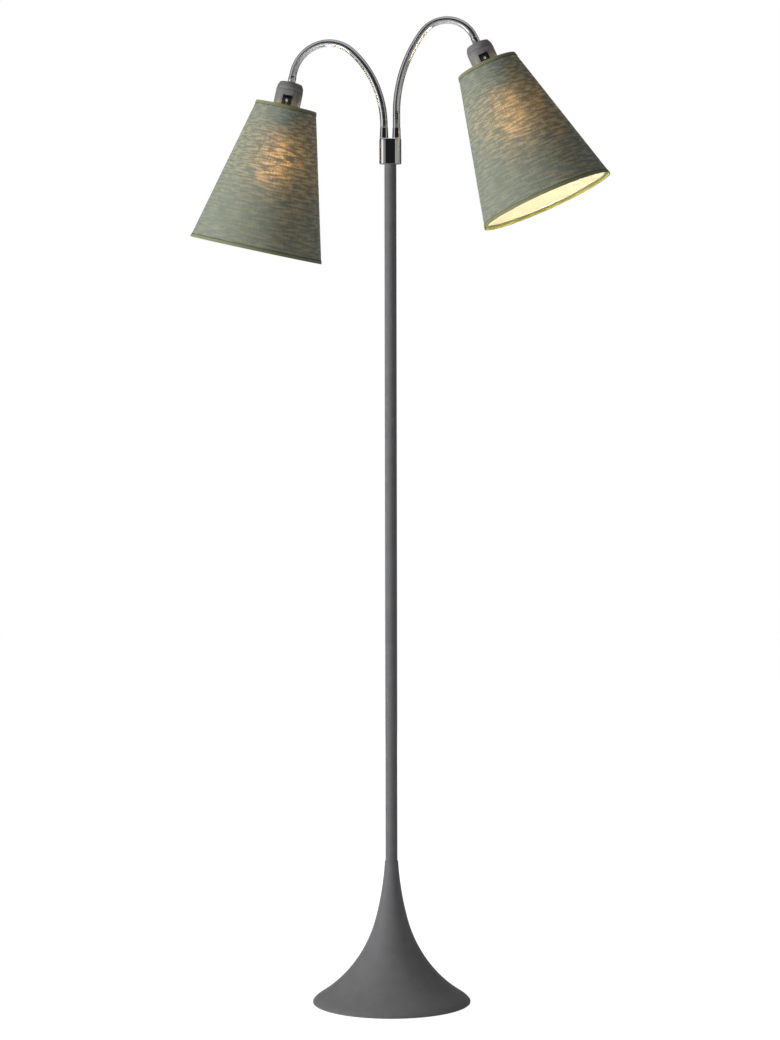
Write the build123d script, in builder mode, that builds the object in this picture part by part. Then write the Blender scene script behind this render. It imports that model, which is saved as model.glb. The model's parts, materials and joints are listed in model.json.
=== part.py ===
"""Twin-arm gooseneck reading lamp: trumpet base, slim column, twin collar, two flexible arms with shades.

Millimetres, +Z up. The origin is the middle of the felt pad's underside, on the floor. The lamp is
seen from -Y. Each arm is a ribbed tube cut into short links with a bead-and-socket joint at each end.
"""

import os
from dataclasses import dataclass
from math import atan, cos, degrees, pi, radians, sin

from build123d import *

# Fits
FIT = 0.05  # radial clearance of a piece inserted into another
SEAT_GAP = 0.3  # distance at which a loose or soft piece lies from its seat

# Base
BASE_RADIUS = 118.0
BASE_HEIGHT = 212.0
NECK_RADIUS = 10.0
BELL_WALL = 3.2  # measured horizontally
RIM_LIFT = 1.0  # the bell's edge clears the floor, the pad does not
RIM_EDGE = 2.0  # upright edge of the flare
SOCKET_DEPTH = 22.0  # how far the column stands in the neck
WEB_THICKNESS = 5.0  # floor of that socket
NECK_SLOPE = 3.5  # degrees off upright where the flare starts
# Where the flare's arcs meet, from the neck down, as shares of its reach and its height
FLARE = ((0.131, 0.584), (0.921, 0.037), (1.0, 0.0))
UPPER_CHORDS = 3  # flats that stand for each arc
LOWER_CHORDS = 5
TOE_CHORDS = 2
PAD_INSET = 4.8  # from the inside of the bell's edge
PAD_THICKNESS = 2.0
WEIGHT_RADIUS = 90.0
WEIGHT_EDGE = 12.0  # upright part of the weight's edge
WEIGHT_HEIGHT = 26.0
NUT_RECESS_RADIUS = 14.0
NUT_RECESS_DEPTH = 10.0
CHANNEL_GAP = 0.5  # round the cord's bush, in the groove under the weight

# Threaded tube and its nut
ROD_RADIUS = 5.0
ROD_BORE = 3.2
NUT_FLATS = 17.0
NUT_HEIGHT = 6.0
WASHER_RADIUS = 11.0
WASHER_THICKNESS = 1.5

# Cord inlet at the back of the base
INLET_HEIGHT = 9.5
INLET_RADIUS = 5.0
INLET_BORE = 3.2
INLET_LENGTH = 20.0

# Column
COLUMN_RADIUS = 9.0
COLUMN_WALL = 1.5
COLUMN_TOP = 1263.0
PLUG_LENGTH = 24.0
STUD_RADIUS = 2.5
STUD_GRIP = 14.0  # length of the collar stud in each of its two holes
WIRE_HOLE = 1.5

# Twin collar
COLLAR_WIDTH = 33.0
COLLAR_DEPTH = 19.5
COLLAR_WALL = 1.2
COLLAR_BOTTOM = 1257.0
COLLAR_HEIGHT = 38.0
COLLAR_WEB = 2.0  # ledge that rests on the column's end
COLLAR_CHAMFER = 0.4
BRIDGE_PLATE = 13.0
ARM_SPACING = 18.75
FERRULE_HEIGHT = 16.5
FERRULE_FOOT = 6.5
FERRULE_TOP = 5.9
FERRULE_STUD = 3.9
FERRULE_STUD_LENGTH = 11.0

# Gooseneck
SIDES = 12  # flats round a rib
CREST_RADIUS = 5.55
ROOT_RADIUS = 4.65
LINKS = 6
RIBS_PER_LINK = 12
RIB_LAP = 0.2  # ribs run into each other, and more so inside the bend
JOINT_GAP = 1.8  # between the root planes of neighbouring links
BEAD_RADIUS = 3.4
BEAD_HALF = 2.4
BEAD_TAPER = 15.0
SOCKET_RADIUS = 3.6
SOCKET_REACH = 3.6  # below the pivot
WIRE_BORE = 1.9
SLEEVE_RADIUS = 6.0
SLEEVE_LENGTH = 10.0
NIPPLE_RADIUS = 5.0
NIPPLE_LENGTH = 12.0

# Lampholder, measured along its axis from the top of its cap
CAP_PLATEAU = 12.0
CAP_RADIUS = 20.0
CAP_SHOULDER = 8.0
CAP_BEVEL = 3.0
CAP_LENGTH = 12.0
HOLDER_RADIUS = 20.5
HOLDER_WALL = 2.5
HOLDER_SHOULDER = 50.0  # the shade frame seats here
SKIRT_RADIUS = 19.0
SKIRT_END = 78.0
CORE_TOP = 46.0
CORE_FLOOR = 5.0
CORE_END = 74.0
SHELL_RADIUS = 13.85  # screw shell, outside
SHELL_WALL = 0.5

# Rocker switch
SWITCH_CENTRE = 32.0
BEZEL_WIDTH = 14.5
BEZEL_LENGTH = 22.6
BEZEL_PROUD = 0.3
BEZEL_DEPTH = 7.0
BEZEL_RIM = 1.5
ROCKER_GAP = 0.15
ROCKER_HALF_LENGTH = 8.5
ROCKER_CREST = 1.3  # height of its ends over its middle
ROCKER_KEEL = 2.2  # depth of its middle below the pins
ROCKER_CHEEK = 0.7  # slope of its two ends
ROCKER_EDGE = 0.6  # height of its ends' lower corners over the pins
ROCKER_TILT = 8.0
ROCKER_PIVOT_DEPTH = 4.0  # below the bezel's face
ROCKER_PIN_RADIUS = 1.0

# Bulb
BULB_RADIUS = 30.0
BULB_END = 160.0
BULB_FLANK = 30  # degrees behind the equator where the neck meets the globe
BULB_STEP = 30
BULB_WALL = 1.0
BULB_CAP_RADIUS = 13.2
BULB_CAP_TOP = 53.0
BULB_CAP_END = 80.0

# Shade
SHADE_TOP = 37.0
SHADE_HEIGHT = 222.0
SHADE_TOP_RADIUS = 46.0
SHADE_BOTTOM_RADIUS = 101.5
SHADE_WALL = 0.8
TAPE_WIDTH = 4.0
TAPE_THICKNESS = 0.5
RING_SECTION = 2.0
RING_HEIGHT = 4.0
RING_INSET = 3.0  # from the shade's edge
HUB_RADIUS = 26.0
HUB_THICKNESS = 2.0
SPOKES = 3
SPOKE_WIDTH = 4.0
LOCK_RING_RADIUS = 24.0
LOCK_RING_HEIGHT = 8.0


@dataclass
class Arm:
    """One side of the lamp: where its arm stands, how far it is swung, and the bends of its centreline."""

    name: str
    side: int  # -1 on the left, 1 on the right
    swing: float  # degrees from the collar's own line, positive towards the viewer
    rise: float  # straight run out of the ferrule
    first_radius: float
    first_turn: float
    second_radius: float
    second_turn: float
    tail: float  # straight run into the lampholder


ARMS = (
    Arm("left", -1, -16.8, 1.5, 155.0, 47.5, 56.5, 119.7, 13.6),
    Arm("right", 1, 9.5, 22.0, 200.0, 36.5, 45.7, 119.6, 10.0),
)

# Worked-out sizes
SOCKET_FLOOR = BASE_HEIGHT - SOCKET_DEPTH
WEB_BOTTOM = SOCKET_FLOOR - WEB_THICKNESS
PAD_RADIUS = BASE_RADIUS - BELL_WALL - PAD_INSET
COLLAR_TOP = COLLAR_BOTTOM + COLLAR_HEIGHT
LEDGE_TOP = COLUMN_TOP + COLLAR_WEB
FERRULE_END = COLLAR_TOP + FERRULE_HEIGHT
COLUMN_BORE = COLUMN_RADIUS - COLUMN_WALL
RECESS_TOP = PAD_THICKNESS + NUT_RECESS_DEPTH
SHADE_END = SHADE_TOP + SHADE_HEIGHT
SHADE_SLOPE = (SHADE_BOTTOM_RADIUS - SHADE_TOP_RADIUS) / SHADE_HEIGHT

FLOOR_AXES = Plane.XZ  # sketches of pieces turned about the column's axis


def save(piece, name):
    """Label a finished piece and write its file."""
    piece.label = name
    export_step(piece, f"parts/{name}.step")


def turned(outline, plane=FLOOR_AXES):
    """Turn a closed outline of (radius, height) points about the height axis of its plane."""
    with BuildPart() as piece:
        with BuildSketch(plane):
            with BuildLine():
                Polyline(*outline, close=True)
            make_face()
        revolve(axis=Axis(plane.origin, plane.y_dir))
    return piece.part


def swung(plane, direction, angle):
    """The plane turned by an angle about a line through its own origin."""
    line = Axis((0, 0, 0), direction)
    return Plane(origin=plane.origin, x_dir=plane.x_dir.rotate(line, angle), z_dir=plane.z_dir.rotate(line, angle))


def ring(inner, outer, low, high, plane=FLOOR_AXES):
    """A plain turned ring."""
    return turned([(inner, low), (outer, low), (outer, high), (inner, high)], plane)


# ---------------------------------------------------------------- base


def flare_points():
    """The ends of the flare's arcs from the neck to the rim, as (radius, height)."""
    rim = RIM_LIFT + RIM_EDGE
    return [(NECK_RADIUS, BASE_HEIGHT)] + [(NECK_RADIUS + reach * (BASE_RADIUS - NECK_RADIUS),
                                            rim + height * (BASE_HEIGHT - rim)) for reach, height in FLARE]


def flare_arcs():
    """The bell's outside as arcs, each tangent to the one before."""
    heading = Vector(sin(radians(NECK_SLOPE)), -cos(radians(NECK_SLOPE)))
    points = flare_points()
    arcs = []
    for start, end in zip(points, points[1:]):
        arcs.append(TangentArc(start, end, tangent=heading, mode=Mode.PRIVATE))
        heading = arcs[-1] % 1
    return arcs


def flare_outline():
    """The bell's outside as chords of its arcs, from the neck to the rim."""
    points = [(NECK_RADIUS, BASE_HEIGHT)]
    for arc, chords in zip(flare_arcs(), (UPPER_CHORDS, LOWER_CHORDS, TOE_CHORDS)):
        points += [((arc @ (i / chords)).X, (arc @ (i / chords)).Y) for i in range(1, chords + 1)]
    return points


def lining_points():
    """The bell's inside from the rim to the web: straight cones, one wall inside the flare."""
    upper, lower, toe = flare_arcs()
    stations = [lower @ 1, lower @ 0.67, lower @ 0.33, upper @ 1, upper @ 0.5]
    points = [(station.X - BELL_WALL, station.Y) for station in stations if station.Y < WEB_BOTTOM]
    return [((toe @ 1).X - BELL_WALL, RIM_LIFT)] + points + [((upper @ 0.3).X - BELL_WALL, WEB_BOTTOM)]


def lining_radius(height):
    """Radius of the bell's inside at a height."""
    points = lining_points()
    for (low_radius, low), (high_radius, high) in zip(points, points[1:]):
        if low <= height <= high:
            return low_radius + (high_radius - low_radius) * (height - low) / (high - low)
    raise ValueError("the height is outside the bell")


def make_base_bell():
    outline = flare_outline() + [(BASE_RADIUS, RIM_LIFT)] + lining_points() + [
        (ROD_RADIUS + FIT, WEB_BOTTOM), (ROD_RADIUS + FIT, SOCKET_FLOOR), (COLUMN_RADIUS + FIT, SOCKET_FLOOR),
        (COLUMN_RADIUS + FIT, BASE_HEIGHT)]
    with BuildPart() as bell:
        add(turned(outline))
        with BuildSketch(Plane.XZ.offset(-BASE_RADIUS)):
            with Locations((0, INLET_HEIGHT)):
                Circle(INLET_RADIUS + FIT)
        extrude(amount=BASE_RADIUS / 2, mode=Mode.SUBTRACT)
    return bell.part


def make_base_weight():
    seat = lining_radius(WEIGHT_HEIGHT) - SEAT_GAP
    edge = min(WEIGHT_RADIUS, lining_radius(WEIGHT_EDGE) - SEAT_GAP)
    disc = turned([(ROD_RADIUS + FIT, RECESS_TOP), (NUT_RECESS_RADIUS, RECESS_TOP),
                   (NUT_RECESS_RADIUS, PAD_THICKNESS), (edge, PAD_THICKNESS), (edge, WEIGHT_EDGE),
                   (seat, WEIGHT_HEIGHT), (ROD_RADIUS + FIT, WEIGHT_HEIGHT)])
    with BuildPart() as weight:
        add(disc)
        with BuildSketch(Plane.XY.offset(PAD_THICKNESS)):
            with Locations((0, WASHER_RADIUS + CHANNEL_GAP)):
                Rectangle(2 * (INLET_RADIUS + CHANNEL_GAP), BASE_RADIUS, align=(Align.CENTER, Align.MIN))
        extrude(amount=INLET_HEIGHT + INLET_RADIUS + CHANNEL_GAP - PAD_THICKNESS, mode=Mode.SUBTRACT)
    return weight.part


def make_base_nut():
    """Washer and hexagon nut that pull the weight up on the threaded tube."""
    with BuildPart() as nut:
        with BuildSketch(Plane.XY.offset(RECESS_TOP - WASHER_THICKNESS)):
            Circle(WASHER_RADIUS)
            Circle(ROD_RADIUS + FIT, mode=Mode.SUBTRACT)
        extrude(amount=WASHER_THICKNESS)
        with BuildSketch(Plane.XY.offset(RECESS_TOP - WASHER_THICKNESS - NUT_HEIGHT)):
            RegularPolygon(NUT_FLATS / 2, 6, major_radius=False)
            Circle(ROD_RADIUS + FIT, mode=Mode.SUBTRACT)
        extrude(amount=NUT_HEIGHT)
    return nut.part


def make_cord_grommet():
    """Bush in the bell's back edge, where the supply cord enters."""
    with BuildPart() as grommet:
        with BuildSketch(Plane.XZ.offset(-BASE_RADIUS)):
            with Locations((0, INLET_HEIGHT)):
                Circle(INLET_RADIUS)
                Circle(INLET_BORE, mode=Mode.SUBTRACT)
        extrude(amount=INLET_LENGTH)
    return grommet.part


def make_top_plug():
    """Turned plug in the column's upper end, with the stud's hole and two holes for the wires."""
    low, outer, inner = COLUMN_TOP - PLUG_LENGTH, COLUMN_BORE - FIT, STUD_RADIUS + FIT
    with BuildPart() as plug:
        add(ring(inner, outer, low, COLUMN_TOP))
        with BuildSketch(Plane.XY.offset(low)):
            with PolarLocations((outer + inner) / 2, 2, start_angle=90):
                Circle(WIRE_HOLE)
        extrude(amount=PLUG_LENGTH, mode=Mode.SUBTRACT)
    return plug.part


# ---------------------------------------------------------------- collar


def make_collar_sleeve():
    with BuildPart() as sleeve:
        with BuildSketch(Plane.XY.offset(COLLAR_BOTTOM)):
            SlotOverall(COLLAR_WIDTH, COLLAR_DEPTH)
        extrude(amount=COLLAR_HEIGHT)
        with BuildSketch(Plane.XY.offset(COLLAR_BOTTOM)):
            Circle(COLUMN_RADIUS + FIT)
        extrude(amount=COLUMN_TOP - COLLAR_BOTTOM, mode=Mode.SUBTRACT)
        with BuildSketch(Plane.XY.offset(COLUMN_TOP)):
            Circle(COLUMN_BORE)
        extrude(amount=COLLAR_WEB, mode=Mode.SUBTRACT)
        with BuildSketch(Plane.XY.offset(LEDGE_TOP)):
            SlotOverall(COLLAR_WIDTH - 2 * COLLAR_WALL, COLLAR_DEPTH - 2 * COLLAR_WALL)
        extrude(amount=COLLAR_TOP - LEDGE_TOP, mode=Mode.SUBTRACT)
        rims = sleeve.faces().filter_by(Axis.Z)
        chamfer([rims.sort_by(Axis.Z)[0].outer_wire().edges(), rims.sort_by(Axis.Z)[-1].outer_wire().edges()],
                COLLAR_CHAMFER)
    return sleeve.part


def make_collar_bridge():
    """Block inside the sleeve: a plate that takes both ferrules, over a post that takes the stud."""
    with BuildPart() as bridge:
        with BuildSketch(Plane.XY.offset(COLLAR_TOP - BRIDGE_PLATE)):
            SlotOverall(COLLAR_WIDTH - 2 * (COLLAR_WALL + FIT), COLLAR_DEPTH - 2 * (COLLAR_WALL + FIT))
        extrude(amount=BRIDGE_PLATE)
        with BuildSketch(Plane.XY.offset(LEDGE_TOP)):
            Circle(COLUMN_BORE + COLUMN_WALL / 2)
        extrude(amount=COLLAR_TOP - BRIDGE_PLATE - LEDGE_TOP)
        with BuildSketch(Plane.XY.offset(LEDGE_TOP)):
            Circle(STUD_RADIUS + FIT)
        extrude(amount=STUD_GRIP, mode=Mode.SUBTRACT)
        with BuildSketch(Plane.XY.offset(COLLAR_TOP)):
            with GridLocations(ARM_SPACING, 0, 2, 1):
                Circle(FERRULE_STUD + FIT)
        extrude(amount=-COLLAR_HEIGHT, mode=Mode.SUBTRACT)
    return bridge.part


def make_ferrule(arm):
    plane = Plane(origin=(arm.side * ARM_SPACING / 2, 0, 0), x_dir=(1, 0, 0), z_dir=(0, -1, 0))
    mouth = FERRULE_END + JOINT_GAP / 2 - SOCKET_REACH
    return turned([(WIRE_BORE, COLLAR_TOP - FERRULE_STUD_LENGTH), (FERRULE_STUD, COLLAR_TOP - FERRULE_STUD_LENGTH),
                   (FERRULE_STUD, COLLAR_TOP), (FERRULE_FOOT, COLLAR_TOP), (FERRULE_TOP, FERRULE_END),
                   (SOCKET_RADIUS, FERRULE_END), (SOCKET_RADIUS, mouth), (WIRE_BORE, mouth)], plane)


# ---------------------------------------------------------------- gooseneck


def arm_plane(arm):
    """The upright plane of the arm: its X runs outwards, its Y up, from the top of the ferrule."""
    outward = Vector(arm.side, 0, 0).rotate(Axis.Z, -arm.side * arm.swing)
    return Plane(origin=(arm.side * ARM_SPACING / 2, 0, FERRULE_END), x_dir=outward,
                 z_dir=outward.cross(Vector(0, 0, 1)))


def centreline(arm):
    """The arm's centreline: a straight rise, two bends one after the other, and a straight tail."""
    with BuildLine(arm_plane(arm)) as line:
        rise = Line((0, 0), (0, arm.rise))
        first = JernArc(rise @ 1, (0, 1), arm.first_radius, -arm.first_turn)
        end = arm.first_turn
        second = JernArc(first @ 1, (sin(radians(end)), cos(radians(end))), arm.second_radius, -arm.second_turn)
        end += arm.second_turn
        PolarLine(second @ 1, arm.tail, angle=90 - end)
    return line.wires()[0]


def section_plane(arm, distance):
    """The plane square to the centreline at a distance from the ferrule."""
    wire = centreline(arm)
    share = distance / wire.length
    return Plane(origin=wire @ share, x_dir=arm_plane(arm).z_dir, z_dir=wire % share)


def flexible_length(arm):
    return centreline(arm).length - SLEEVE_LENGTH


def link_length(arm):
    return (flexible_length(arm) - JOINT_GAP) / LINKS


def pivot_distance(arm, number):
    """Distance along the centreline of pivot 0 (at the ferrule) to pivot LINKS (at the lampholder)."""
    return JOINT_GAP / 2 + number * link_length(arm)


def make_rib(pitch):
    """One rib of the tube, crest at the origin, as a double frustum."""
    drop = (CREST_RADIUS - ROOT_RADIUS) * cos(pi / SIDES)
    with BuildPart() as rib:
        with BuildSketch():
            RegularPolygon(CREST_RADIUS, SIDES)
        extrude(amount=pitch / 2 + RIB_LAP, taper=degrees(atan(2 * drop / pitch)))
        mirror(about=Plane.XY)
    return rib.part


def make_bead(plane):
    """The tapered bead on the lower end of a link, centred on its pivot."""
    with BuildPart() as bead:
        with BuildSketch(plane):
            RegularPolygon(BEAD_RADIUS, SIDES)
        extrude(amount=BEAD_HALF, taper=BEAD_TAPER)
        mirror(about=plane)
    return bead.part


def make_link_bore(arm, lower, middle, upper):
    """The socket on a link's upper end and the wires' way, as two straight runs that meet in the middle."""
    with BuildPart() as bore:
        with BuildSketch(upper):
            RegularPolygon(SOCKET_RADIUS, SIDES)
        extrude(amount=-SOCKET_REACH)
        for end in (lower, upper):
            run = end.origin - middle.origin
            with BuildSketch(Plane(origin=middle.origin - run.normalized() * WIRE_BORE, x_dir=arm_plane(arm).z_dir,
                                   z_dir=run)):
                RegularPolygon(WIRE_BORE, SIDES // 2)
            extrude(amount=run.length + 2 * SOCKET_REACH)
    return bore.part


def make_link(arm, number):
    """Link number 1 to LINKS: ribs along the centreline, a bead below and a socket above."""
    low, high = pivot_distance(arm, number - 1), pivot_distance(arm, number)
    start, end = low + JOINT_GAP / 2, high - JOINT_GAP / 2
    pitch = (end - start) / RIBS_PER_LINK
    rib = make_rib(pitch)
    middle = section_plane(arm, (start + end) / 2)
    lower, upper = section_plane(arm, low), section_plane(arm, high)
    with BuildPart() as link:
        with Locations(*[section_plane(arm, start + (i + 0.5) * pitch) for i in range(RIBS_PER_LINK)]):
            add(rib)
        add(make_bead(lower))
        add(make_link_bore(arm, lower, middle, upper), mode=Mode.SUBTRACT)
    return link.part


# ---------------------------------------------------------------- lampholder, bulb and shade


def head_plane(arm):
    """The lampholder's plane: origin on top of its cap, Z down its axis, X towards the viewer."""
    wire = centreline(arm)
    axis = wire % 1
    viewer = Vector(0, -1, 0)
    front = (viewer - axis * viewer.dot(axis)).normalized()
    return Plane(origin=wire @ 1, x_dir=front, z_dir=axis)


def head_profile(arm):
    """Sketch plane of pieces turned about the lampholder's axis: X is the radius, Y runs down the axis."""
    head = head_plane(arm)
    return Plane(origin=head.origin, x_dir=head.x_dir, z_dir=head.x_dir.cross(head.z_dir))


def make_end_sleeve(arm):
    """Plain sleeve on the tube's end, with the bead of the last joint and the threaded nipple."""
    profile = head_profile(arm)
    body = turned([(WIRE_BORE, -SLEEVE_LENGTH), (SLEEVE_RADIUS, -SLEEVE_LENGTH), (SLEEVE_RADIUS, 0),
                   (NIPPLE_RADIUS, 0), (NIPPLE_RADIUS, NIPPLE_LENGTH), (WIRE_BORE, NIPPLE_LENGTH)], profile)
    pivot = section_plane(arm, pivot_distance(arm, LINKS))
    with BuildPart() as sleeve:
        add(body)
        add(make_bead(pivot))
        with BuildSketch(pivot):
            Circle(WIRE_BORE)
        extrude(amount=BEAD_HALF + WIRE_BORE, both=True, mode=Mode.SUBTRACT)
    return sleeve.part


def make_holder_cap(arm):
    """Cap with a broad bevelled shoulder, screwed on the nipple."""
    inner = CAP_RADIUS - HOLDER_WALL
    hole = NIPPLE_RADIUS + FIT
    break_radius, break_depth = CAP_RADIUS - CAP_BEVEL, CAP_BEVEL / 2
    return turned([(hole, 0), (CAP_PLATEAU, 0), (break_radius, break_depth), (CAP_RADIUS, CAP_SHOULDER),
                   (CAP_RADIUS, CAP_LENGTH), (inner, CAP_LENGTH), (inner, CAP_SHOULDER),
                   (CAP_PLATEAU, HOLDER_WALL), (hole, HOLDER_WALL)], head_profile(arm))


def make_holder_body(arm):
    """Casing with the switch's window in front and the threaded skirt that carries the shade."""
    inner = SKIRT_RADIUS - HOLDER_WALL / 2
    casing = turned([(inner, CAP_LENGTH), (HOLDER_RADIUS, CAP_LENGTH), (HOLDER_RADIUS, HOLDER_SHOULDER),
                     (SKIRT_RADIUS, HOLDER_SHOULDER), (SKIRT_RADIUS, SKIRT_END), (inner, SKIRT_END)],
                    head_profile(arm))
    head = head_plane(arm)
    with BuildPart() as body:
        add(casing)
        with BuildSketch(head.offset(SWITCH_CENTRE)):
            with Locations((HOLDER_RADIUS, 0)):
                Rectangle(HOLDER_RADIUS, BEZEL_WIDTH + 2 * FIT)
        extrude(amount=BEZEL_LENGTH / 2 + FIT, both=True, mode=Mode.SUBTRACT)
    return body.part


def make_rocker_bezel(arm):
    face = HOLDER_RADIUS + BEZEL_PROUD
    pivot = face - ROCKER_PIVOT_DEPTH
    centre = head_plane(arm).offset(SWITCH_CENTRE)
    with BuildPart() as bezel:
        with BuildSketch(centre):
            with Locations((face - BEZEL_DEPTH / 2, 0)):
                Rectangle(BEZEL_DEPTH, BEZEL_WIDTH)
        extrude(amount=BEZEL_LENGTH / 2, both=True)
        with BuildSketch(centre):
            with Locations((face - BEZEL_DEPTH / 2, 0)):
                Rectangle(BEZEL_DEPTH, BEZEL_WIDTH - 2 * BEZEL_RIM)
        extrude(amount=BEZEL_LENGTH / 2 - BEZEL_RIM, both=True, mode=Mode.SUBTRACT)
        pin_way = Plane(origin=centre.from_local_coords(Vector(pivot, 0, 0)), x_dir=centre.x_dir, z_dir=centre.y_dir)
        with BuildSketch(pin_way):
            Circle(ROCKER_PIN_RADIUS + FIT)
        extrude(amount=BEZEL_WIDTH / 2 - BEZEL_RIM / 3, both=True, mode=Mode.SUBTRACT)
    return bezel.part


def make_rocker(arm):
    """Rocker with a shallow V face, on two stub pins, tipped to the on side."""
    face = HOLDER_RADIUS + BEZEL_PROUD
    centre = head_plane(arm).offset(SWITCH_CENTRE)
    pivot = centre.from_local_coords(Vector(face - ROCKER_PIVOT_DEPTH, 0, 0))
    # Local X runs along the rocker towards the shade, local Y out of its face
    side = Plane(origin=pivot, x_dir=centre.z_dir, z_dir=centre.z_dir.cross(centre.x_dir))
    side = swung(side, side.z_dir, -ROCKER_TILT)
    half, crest, dip = ROCKER_HALF_LENGTH, ROCKER_PIVOT_DEPTH + ROCKER_CREST, ROCKER_PIVOT_DEPTH
    width = BEZEL_WIDTH / 2 - BEZEL_RIM - ROCKER_GAP
    with BuildPart() as rocker:
        with BuildSketch(side):
            with BuildLine():
                Polyline((-half, crest), (0, dip), (half, crest), (half - ROCKER_CHEEK, ROCKER_EDGE),
                         (0, -ROCKER_KEEL), (ROCKER_CHEEK - half, ROCKER_EDGE), close=True)
            make_face()
        extrude(amount=width, both=True)
        with BuildSketch(side):
            Circle(ROCKER_PIN_RADIUS)
        extrude(amount=BEZEL_WIDTH / 2 - BEZEL_RIM / 3 - FIT, both=True)
    return rocker.part


def make_holder_core(arm):
    """Insulating cup inside the skirt that carries the screw shell."""
    outer = SKIRT_RADIUS - HOLDER_WALL / 2 - FIT
    return turned([(WIRE_BORE, CORE_TOP), (outer, CORE_TOP), (outer, CORE_END), (SHELL_RADIUS + FIT, CORE_END),
                   (SHELL_RADIUS + FIT, CORE_TOP + CORE_FLOOR), (WIRE_BORE, CORE_TOP + CORE_FLOOR)],
                  head_profile(arm))


def make_socket_contacts(arm):
    """Screw shell and centre contact."""
    floor = CORE_TOP + CORE_FLOOR
    with BuildPart() as contacts:
        add(ring(SHELL_RADIUS - SHELL_WALL, SHELL_RADIUS, floor, CORE_END, head_profile(arm)))
        with BuildSketch(head_plane(arm).offset(floor)):
            Circle(BULB_CAP_RADIUS / 3)
        extrude(amount=BULB_CAP_TOP - floor - FIT)
    return contacts.part


def make_bulb_cap(arm):
    tip = BULB_CAP_RADIUS / 3
    return turned([(0, BULB_CAP_TOP), (tip, BULB_CAP_TOP), (BULB_CAP_RADIUS, BULB_CAP_TOP + tip / 2),
                   (BULB_CAP_RADIUS, BULB_CAP_END), (0, BULB_CAP_END)], head_profile(arm))


def globe_outline(wall):
    """The bulb's outline from its neck to its tip, a wall inside the outer face, with the globe as chords."""
    centre, radius = BULB_END - BULB_RADIUS, BULB_RADIUS - wall
    angles = [radians(angle) for angle in range(-BULB_FLANK, 90, BULB_STEP)]
    globe = [(radius * cos(angle), centre + radius * sin(angle)) for angle in angles]
    return [(BULB_CAP_RADIUS - wall, BULB_CAP_END), *globe, (0, centre + radius)]


def make_bulb_glass(arm):
    return turned(globe_outline(0) + globe_outline(BULB_WALL)[::-1], head_profile(arm))


def shade_radius(distance):
    """Outside radius of the shade at a distance along the head's axis."""
    return SHADE_TOP_RADIUS + (distance - SHADE_TOP) * SHADE_SLOPE


def shade_band(arm, start, end, inside, outside):
    """A conical band that follows the shade: inside and outside are distances from its outer face."""
    return turned([(shade_radius(start) + inside, start), (shade_radius(start) + outside, start),
                   (shade_radius(end) + outside, end), (shade_radius(end) + inside, end)], head_profile(arm))


def make_shade_trim(arm):
    """Binding tape round both edges of the shade."""
    with BuildPart() as trim:
        add(shade_band(arm, SHADE_TOP, SHADE_TOP + TAPE_WIDTH, 0, TAPE_THICKNESS))
        add(shade_band(arm, SHADE_END - TAPE_WIDTH, SHADE_END, 0, TAPE_THICKNESS))
    return trim.part


def make_shade_frame(arm):
    """Hub on the lampholder's shoulder, spokes up to the top ring, and the loose bottom ring."""
    head = head_plane(arm)
    profile = head_profile(arm)
    top_ring = SHADE_TOP + RING_INSET
    top_radius = shade_radius(top_ring) - SHADE_WALL - SEAT_GAP
    bottom_ring = SHADE_END - RING_INSET - RING_HEIGHT
    bottom_radius = shade_radius(bottom_ring) - SHADE_WALL - SEAT_GAP
    hub_face = HOLDER_SHOULDER + HUB_THICKNESS
    with BuildPart() as frame:
        add(ring(SKIRT_RADIUS + FIT, HUB_RADIUS, HOLDER_SHOULDER, hub_face, profile))
        add(ring(top_radius - RING_SECTION, top_radius, top_ring, top_ring + RING_HEIGHT, profile))
        for number in range(SPOKES):
            with BuildSketch(swung(profile, profile.y_dir, 360 * (number + 0.5) / SPOKES)):
                with BuildLine():
                    Polyline((HUB_RADIUS - HUB_THICKNESS, HOLDER_SHOULDER), (HUB_RADIUS - HUB_THICKNESS, hub_face),
                             (HUB_RADIUS, hub_face), (top_radius - RING_SECTION / 2, top_ring + RING_HEIGHT),
                             (top_radius - RING_SECTION / 2, top_ring + RING_HEIGHT - HUB_THICKNESS), close=True)
                make_face()
            extrude(amount=SPOKE_WIDTH / 2, both=True)
        add(ring(bottom_radius - RING_SECTION, bottom_radius, bottom_ring, bottom_ring + RING_HEIGHT, profile))
    return frame.part


def make_lock_ring(arm):
    start = HOLDER_SHOULDER + HUB_THICKNESS
    return ring(SKIRT_RADIUS + FIT, LOCK_RING_RADIUS, start, start + LOCK_RING_HEIGHT, head_profile(arm))


# ---------------------------------------------------------------- the whole lamp

os.makedirs("parts", exist_ok=True)

save(make_base_bell(), "base_bell")
save(make_base_weight(), "base_weight")
save(turned([(0, 0), (PAD_RADIUS, 0), (PAD_RADIUS, PAD_THICKNESS), (0, PAD_THICKNESS)]), "base_pad")
save(ring(ROD_BORE, ROD_RADIUS, RECESS_TOP - WASHER_THICKNESS - NUT_HEIGHT, SOCKET_FLOOR + PLUG_LENGTH), "tie_rod")
save(make_base_nut(), "base_nut")
save(make_cord_grommet(), "cord_grommet")
save(ring(COLUMN_BORE, COLUMN_RADIUS, SOCKET_FLOOR, COLUMN_TOP), "column_tube")
save(ring(ROD_RADIUS + FIT, COLUMN_BORE - FIT, SOCKET_FLOOR, SOCKET_FLOOR + PLUG_LENGTH), "column_foot_plug")
save(make_top_plug(), "column_top_plug")
save(turned([(0, COLUMN_TOP - STUD_GRIP), (STUD_RADIUS, COLUMN_TOP - STUD_GRIP),
             (STUD_RADIUS, LEDGE_TOP + STUD_GRIP), (0, LEDGE_TOP + STUD_GRIP)]), "collar_stud")
save(make_collar_sleeve(), "collar_sleeve")
save(make_collar_bridge(), "collar_bridge")

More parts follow.
